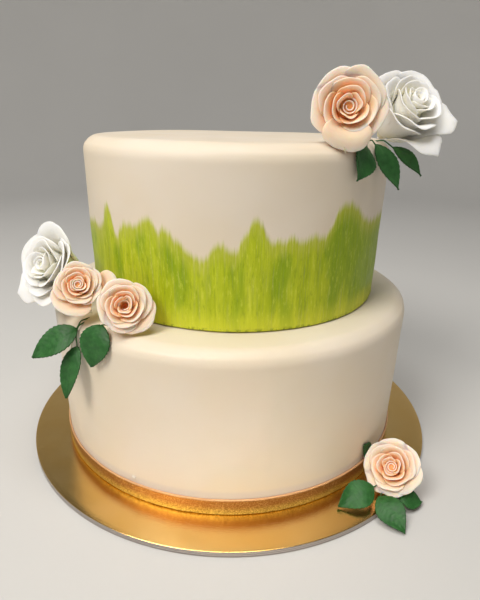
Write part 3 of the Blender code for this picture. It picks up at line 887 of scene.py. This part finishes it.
def heart_form(rose):
    """The wound strip in the middle of a rose."""
    heart, rows = rose.heart, HEART_ROWS
    columns = round(HEART_COLUMNS_PER_TURN * heart.turns)
    share = np.linspace(0, 1, columns + 1)
    turn = math.radians(heart.start) + share * heart.turns * 2 * math.pi
    radius = rose.radius * (heart.inside + (heart.outside - heart.inside) * share)
    rim = rose.height * (heart.middle + (heart.rim - heart.middle) * share)
    rim = rim * (1 - 0.25 * ease(1 - share / 0.1)) * (1 - 0.2 * ease((share - 0.88) / 0.12))
    up = 1 - (1 - np.linspace(0, 1, rows + 1)) ** 1.5
    foot = HEART_FOOT * rose.height
    grid = np.zeros((rows + 1, columns + 1, 3))
    across = radius[None, :] * (0.8 + 0.2 * up[:, None])
    across = across + 0.012 * rose.radius * ease((up[:, None] - 0.75) / 0.25)
    grid[:, :, 0] = across * np.cos(turn)[None, :]
    grid[:, :, 1] = across * np.sin(turn)[None, :]
    grid[:, :, 2] = foot + (rim[None, :] - foot) * up[:, None]
    to_rim = (1 - up)[:, None] * (rose.height - foot) * np.ones_like(across)
    thickness = HEART_THICKNESS * rounded(to_rim, PETAL_ROUNDING, PETAL_LEAST)
    return grid, thickness, 0.35 + 0.65 * up[:, None] * np.ones_like(across)


def core_form(rose):
    """The solid bud that the heart and the petals are wrapped round."""
    bud = rose.heart.bud
    profile = [
        (0.03, bud), (0.1, bud - 0.01), (0.18, max(bud, 0.72) - 0.03), (0.26, 0.76), (0.33, 0.66),
        (0.37, 0.52), (0.33, 0.34), (0.2, 0.12), (0.1, 0.0),
    ]

    def point(radius, height, turns):
        return np.stack([radius * np.cos(turns), radius * np.sin(turns), height + 0 * turns], 1)

    return lathe([(out * rose.radius, up * rose.height) for out, up in profile], 32, point)


def rose_frame(rose):
    axis = Vector(rose.axis).normalized()
    right = Vector((0, 0, 1)).cross(axis).normalized()
    up = axis.cross(right)
    place = Matrix((right, up, axis)).transposed().to_4x4()
    place.translation = Vector(rose.foot)
    return place


def tube(path, radii, sides=12):
    """A closed round stalk along a path of points."""
    path = np.array(path, float)
    ahead = np.gradient(path, axis=0)
    ahead /= np.linalg.norm(ahead, axis=1, keepdims=True)
    helper = np.array((0.3, 0.9, 0.1))
    right = np.cross(ahead, helper)
    right /= np.linalg.norm(right, axis=1, keepdims=True)
    over = np.cross(right, ahead)
    turns = np.arange(sides) * 2 * math.pi / sides
    points = [
        centre + radius * (np.cos(turns)[:, None] * along + np.sin(turns)[:, None] * up)
        for centre, radius, along, up in zip(path, radii, right, over)
    ]
    faces = [list(range(sides))[::-1]]
    for ring in range(len(path) - 1):
        for step in range(sides):
            after = (step + 1) % sides
            low, high = ring * sides, (ring + 1) * sides
            faces.append((low + step, low + after, high + after, high + step))
    last = (len(path) - 1) * sides
    faces.append([last + step for step in range(sides)])
    return np.concatenate(points), faces


def add_rose(name, rose, material):
    place = np.array(rose_frame(rose))
    shape = Shape()

    def placed(points):
        points = points + points[:, 2:] * np.array([*rose.lean, 0.0])
        return points @ place[:3, :3].T + place[:3, 3]

    forms = [(heart_form(rose), 0.0)]
    for index, petal in enumerate(rose.petals):
        forms.append((petal_form(petal, rose.radius, f"{name} {index}"), petal.pale))
    for (grid, thickness, reach), pale in forms:
        points, faces = shell(grid, thickness)
        tone = 0.08 + 0.27 * pale + 0.5 * reach ** 1.3 + (0.37 - 0.2 * pale) * ease((reach - 0.85) / 0.15)
        shape.add(placed(points), faces, tone=np.tile(tone.ravel(), 2))
    points, faces = core_form(rose)
    shape.add(placed(points), faces, tone=0.2)
    start = placed(np.array([(0, 0, 0.3 * rose.height), (0, 0, 0.12 * rose.height), (0, 0, -0.2)]))
    rest = np.array(rose.rest, float)
    path = [start[0], start[1], start[2], (start[2] + rest) / 2, rest]
    points, faces = tube(path, [0.12 * rose.radius, 0.1 * rose.radius, 1.6, 1.2, 1.0])
    shape.add(points, faces, tone=1.0)
    shape.piece(name + "_petals", material, "white" if "white" in name else "peach", name)


def add_leaf(name, leaf, material):
    """A cut leaf with a saw-toothed rim, a raised midrib, pressed side veins and a slight wave."""
    rows, columns = 64, 24
    foot, tip = Vector(leaf.foot), Vector(leaf.tip)
    ahead = (tip - foot).normalized()
    facing = Vector(leaf.facing)
    facing = (facing - ahead * facing.dot(ahead)).normalized()
    across = np.array(ahead.cross(facing))
    length = (tip - foot).length
    ahead, facing = np.array(ahead), np.array(facing)
    share = np.linspace(0, 1, rows + 1)
    side = np.sin(np.linspace(-1, 1, columns + 1) * math.pi / 2)
    full = np.maximum(np.sin(math.pi * share ** 0.8), 0) ** 0.8 * (1 - 0.3 * share ** 5)
    saw = (share * LEAF_TEETH) % 1.0
    bite = LEAF_TOOTH * (1 - saw) * np.clip(np.sin(math.pi * share) * 3, 0, 1)
    half = leaf.width / 2 * np.maximum(full, 0.05) * (1.03 - bite)
    along, sides = share[:, None], side[None, :]
    halves = half[:, None]
    vein = np.abs(((along * LEAF_VEINS - 2.1 * np.abs(sides)) % 1.0) - 0.5) * 2
    vein = np.clip((vein - 0.72) / 0.28, 0, 1) * np.clip(1 - np.abs(sides), 0, 1) ** 0.3
    rib = np.exp(-(sides * halves / 0.45) ** 2)
    wave = LEAF_WAVE * leaf.width * np.sin(2 * math.pi * along + 2 * sides)
    lift = 4 * leaf.arch * along * (1 - along) + leaf.fold * halves * np.abs(sides) + wave
    raised = LEAF_RELIEF * rib * np.clip(along * 8, 0, 1) * np.clip((1 - along) * 6, 0, 1)
    relief = raised - LEAF_RELIEF * vein * (1 - rib)
    grid = (
        np.array(foot)[None, None, :]
        + ahead[None, None, :] * (length * along)[:, :, None]
        + across[None, None, :] * (halves * sides)[:, :, None]
        + facing[None, None, :] * (lift + relief)[:, :, None]
    )
    thickness = LEAF_THICKNESS * rounded((1 - np.abs(sides)) * halves, LEAF_ROUNDING, LEAF_LEAST)
    points, faces = shell(grid, thickness)
    count = grid.shape[0] * grid.shape[1]
    rim = np.exp(-((1 - np.abs(sides)) * halves / 0.4) ** 2) * np.ones_like(lift)
    shape = Shape()
    shape.add(points, faces, vein=np.concatenate([vein.ravel(), np.zeros(count)]),
              rim=np.concatenate([0.75 * rim.ravel(), np.full(count, 0.8)]))
    shape.piece(name + "_cut", material, "leaf", name)


def add_wire_tips():
    """The ends of the flowers' covered wires that stick out under the petals and between the leaves."""
    material, tree, shader = new_material("pale_wire", Roughness=0.5)
    wrapping = noise(tree, places(tree, (1, 1, 3)), 900.0, 2.0)
    wire(tree, shader, Base_Color=blend(tree, wrapping, colour(226, 214, 186), colour(196, 190, 150)))
    shape = Shape()
    for path in WIRE_TIPS:
        points, faces = tube(path, [WIRE_RADIUS] * len(path), 8)
        shape.add(points, faces)
    shape.piece("wire_tips", material, "white")


def add_leaf_wires(material):
    """Each wire starts between its leaf's faces and bends down into the icing or onto the board."""
    shape = Shape()
    for name, corners in LEAF_WIRES.items():
        foot, tip = np.array(LEAVES[name].foot), np.array(LEAVES[name].tip)
        start = foot + 1.6 * (tip - foot) / np.linalg.norm(tip - foot)
        knots = np.array([start, foot, *corners], float)
        lengths = np.concatenate([[0], np.cumsum(np.linalg.norm(np.diff(knots, axis=0), axis=1))])
        even = np.linspace(0, lengths[-1], 25)
        path = np.stack([np.interp(even, lengths, knots[:, axis]) for axis in range(3)], 1)
        for _ in range(6):
            path[1:-1] = (path[:-2] + 2 * path[1:-1] + path[2:]) / 4
        points, faces = tube(path, [LEAF_WIRE_RADIUS] * len(path), 10)
        shape.add(points, faces, vein=0.6, rim=0.0)
    shape.piece("leaf_wires", material, "leaf")


# The stage, in metres: the flat floor's radius, the radius of its curve up, and the backdrop's height.
FLOOR_RADIUS = 1.2
FLOOR_CURVE = 0.7
FLOOR_CURVE_STEPS = 12
BACKDROP_HEIGHT = 1.6


def add_stage():
    """A plain pale floor that rises into a backdrop all round."""
    rings = [(radius, 0.0) for radius in (0.4, 0.8, FLOOR_RADIUS)]
    for step in range(1, FLOOR_CURVE_STEPS + 1):
        turn = math.pi / 2 * step / FLOOR_CURVE_STEPS
        rings.append((FLOOR_RADIUS + FLOOR_CURVE * math.sin(turn), FLOOR_CURVE * (1 - math.cos(turn))))
    rings.append((FLOOR_RADIUS + FLOOR_CURVE, BACKDROP_HEIGHT))
    segments = 96
    points, faces = [], []
    for radius, height in rings:
        for step in range(segments):
            turn = 2 * math.pi * step / segments
            points.append((radius * math.cos(turn), radius * math.sin(turn), height))
    for ring in range(len(rings) - 1):
        for step in range(segments):
            after = (step + 1) % segments
            low, high = ring * segments, (ring + 1) * segments
            faces.append((low + step, high + step, high + after, low + after))
    faces.append(list(range(segments)))
    mesh = bpy.data.meshes.new("studio_floor")
    mesh.from_pydata(points, [], faces)
    mesh.shade_smooth()
    material, tree, shader = new_material("pale_floor", Roughness=0.85, Specular_IOR_Level=0.2)
    speckle = noise(tree, places(tree), 3.0, 2.0)
    wire(tree, shader, Base_Color=blend(tree, speckle, colour(204, 203, 201), colour(210, 209, 207)))
    mesh.materials.append(material)
    floor = bpy.data.objects.new("studio_floor", mesh)
    bpy.context.scene.collection.objects.link(floor)


def add_light(name, place, size, power, tint, target=(0.0, 0.0, 0.12), spread=180):
    light = bpy.data.lights.new(name, "AREA")
    light.shape = "DISK"
    light.spread = math.radians(spread)
    light.size = size
    light.energy = power
    light.color = tint
    thing = bpy.data.objects.new(name, light)
    thing.location = place
    thing.rotation_euler = (Vector(target) - Vector(place)).to_track_quat("-Z", "Y").to_euler()
    bpy.context.scene.collection.objects.link(thing)


# The camera as fitted to the rims of the board and tiers: place in metres, lens and sensor in
# millimetres, and angles in degrees.
CAMERA_PLACE = (0.00696, -0.35065, 0.22555)
CAMERA_LENS = 29.374
CAMERA_SENSOR = 36.0
CAMERA_DOWN = 20.758
CAMERA_ROLL = 1.098


def add_camera():
    """The photograph's point of view: in front of the cake, a little above its top, looking down."""
    camera = bpy.data.objects.new("camera", bpy.data.cameras.new("camera"))
    camera.data.lens = CAMERA_LENS
    camera.data.sensor_width = CAMERA_SENSOR
    camera.data.clip_start = 0.01
    down = Matrix.Rotation(math.radians(90 - CAMERA_DOWN), 4, "X")
    place = down @ Matrix.Rotation(math.radians(CAMERA_ROLL), 4, "Z")
    place.translation = Vector(CAMERA_PLACE)
    camera.matrix_world = place
    bpy.context.scene.collection.objects.link(camera)
    bpy.context.scene.camera = camera


icing = icing_material()
peach = petal_material("peach_paste", PEACH_STOPS, (1.0, 0.4, 0.2))
white = petal_material("white_paste", WHITE_STOPS, (1.0, 0.85, 0.6))
green = leaf_material()

add_board(board_material())
add_lower_tier(icing)
add_upper_tier(painted_material())
add_band(band_material())
for name, rose in ROSES.items():
    add_rose(name, rose, white if "white" in name else peach)
for name, leaf in LEAVES.items():
    add_leaf(name, leaf, green)

add_wire_tips()
add_leaf_wires(green)

add_stage()
add_light("key", (-0.7, -0.8, 1.25), size=0.7, power=15.5, tint=(1.0, 0.96, 0.9))
add_light("overhead", (0.0, -0.25, 1.5), size=0.9, power=11.0, tint=(1.0, 0.97, 0.92))
# The warm light that the foil throws on the lower tier's foot, helped by a narrow lamp in front.
add_light("warm bounce", (0.1, -1.05, 0.06), size=0.12, power=0.022, tint=(1.0, 0.86, 0.66),
          target=(0.01, -0.12, 0.01), spread=14)
world = bpy.data.worlds.new("studio")
world.use_nodes = True
background = world.node_tree.nodes["Background"]
background.inputs["Color"].default_value = (0.9, 0.92, 0.95, 1.0)
background.inputs["Strength"].default_value = 0.12
bpy.context.scene.world = world
bpy.context.scene.view_settings.view_transform = "Standard"
add_camera()
